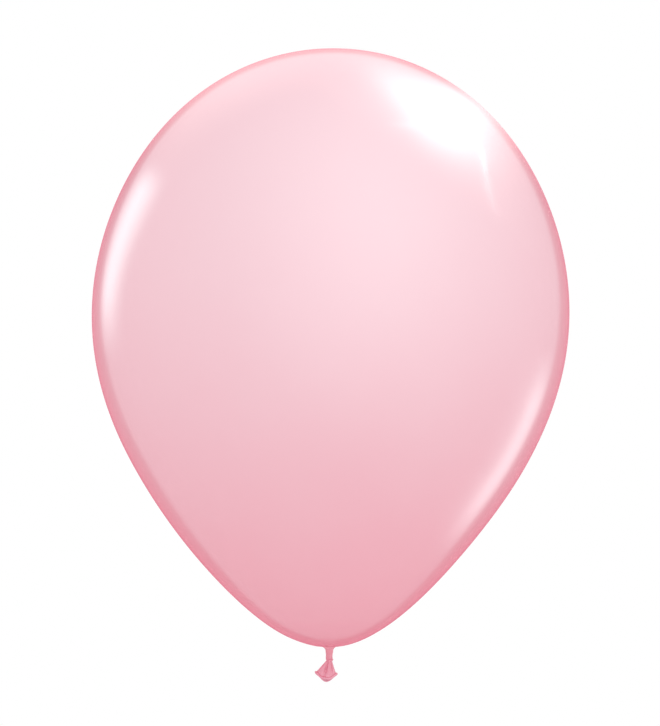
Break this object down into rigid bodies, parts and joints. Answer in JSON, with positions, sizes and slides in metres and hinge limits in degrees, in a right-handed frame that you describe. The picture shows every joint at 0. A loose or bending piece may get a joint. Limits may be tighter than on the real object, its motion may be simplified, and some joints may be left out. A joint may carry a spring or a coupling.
{
  "type": "latex balloon",
  "caption": "Inflated round latex party balloon, neck down: thin teardrop envelope, gathered neck, small knot and a flared tail with a rolled lip.",
  "frame": {"origin": "middle of the gathered neck, on its centre line, where a ribbon is tied or a balloon-stick cup grips it", "axes": "+Z from the neck up through the crown; -Y faces the viewer in the front view; +X to the viewer's right"},
  "size_m": [0.2809, 0.281, 0.3728],
  "materials": {
    "stretched_latex": "glossy pastel pink latex, slightly see-through",
    "gathered_latex": "satin deeper pink latex, unstretched"
  },
  "bodies": {
    "envelope": {"inflated_skin": "stretched_latex"},
    "neck": {"neck_stem": "gathered_latex"},
    "knot": {"knot": "gathered_latex"},
    "tail": {"tail_skirt": "gathered_latex", "rolled_lip": "gathered_latex"}
  },
  "joints": [
    {"name": "neck_side_bend", "type": "hinge", "parent": "envelope", "child": "neck", "pos_m": [0, 0, 0.0015], "axis": [0, 1, 0], "range_deg": [-40, 40], "stiffness_Nm_per_rad": 0.001},
    {"name": "neck_fore_bend", "type": "hinge", "parent": "neck", "child": "knot", "pos_m": [0, 0, -0.0027], "axis": [1, 0, 0], "range_deg": [-35, 35], "stiffness_Nm_per_rad": 0.001},
    {"name": "tail_side_bend", "type": "hinge", "parent": "knot", "child": "tail", "pos_m": [0, 0, -0.007], "axis": [0, 1, 0], "range_deg": [-35, 35], "stiffness_Nm_per_rad": 0.0006}
  ]
}
